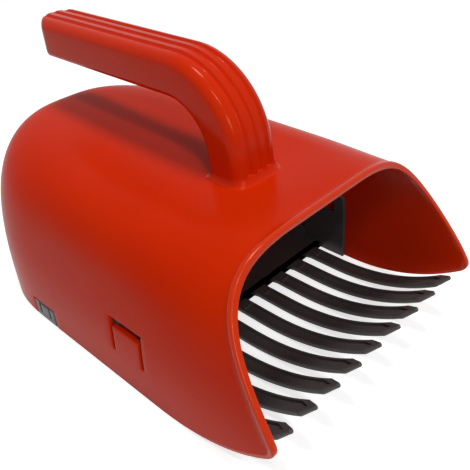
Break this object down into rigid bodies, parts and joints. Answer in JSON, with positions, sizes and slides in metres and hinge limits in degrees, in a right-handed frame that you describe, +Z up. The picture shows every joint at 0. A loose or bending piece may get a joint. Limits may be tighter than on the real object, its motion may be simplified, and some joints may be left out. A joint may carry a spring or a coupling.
{
  "type": "berry picking rake",
  "caption": "Hand berry picking rake: a moulded scoop with an overhanging grooved handle and a snap-in comb of channelled tines along its open mouth.",
  "frame": {"origin": "centre of the bounding box's lower face, on the ground below the middle of the tool", "axes": "+X towards the tine tips, +Y to the left, +Z up, the comb's flat floor on z = 0"},
  "size_m": [0.2322, 0.153, 0.1405],
  "materials": {
    "red_plastic": "satin gloss red",
    "dark_plastic": "satin dark grey"
  },
  "bodies": {
    "rake": {"hood_shell": "red_plastic", "handle": "red_plastic", "comb": "dark_plastic"},
    "side_clip_right": {"side_clip_right": "red_plastic"},
    "side_clip_left": {"side_clip_left": "red_plastic"},
    "rear_clip_right": {"rear_clip_right": "dark_plastic"},
    "rear_clip_left": {"rear_clip_left": "dark_plastic"}
  },
  "joints": [
    {"name": "side_clip_right_flex", "type": "hinge", "parent": "rake", "child": "side_clip_right", "pos_m": [0.02705, -0.07525, 0.0193], "axis": [1, 0, 0], "range_deg": [0, 8], "stiffness_Nm_per_rad": 5},
    {"name": "side_clip_left_flex", "type": "hinge", "parent": "rake", "child": "side_clip_left", "pos_m": [0.02705, 0.07525, 0.0193], "axis": [-1, 0, 0], "range_deg": [0, 8], "stiffness_Nm_per_rad": 5},
    {"name": "rear_clip_right_flex", "type": "hinge", "parent": "rake", "child": "rear_clip_right", "pos_m": [-0.04895, -0.07525, 0.0032], "axis": [-1, 0, 0], "range_deg": [0, 3], "stiffness_Nm_per_rad": 5},
    {"name": "rear_clip_left_flex", "type": "hinge", "parent": "rake", "child": "rear_clip_left", "pos_m": [-0.04895, 0.07525, 0.0032], "axis": [1, 0, 0], "range_deg": [0, 3], "stiffness_Nm_per_rad": 5}
  ]
}
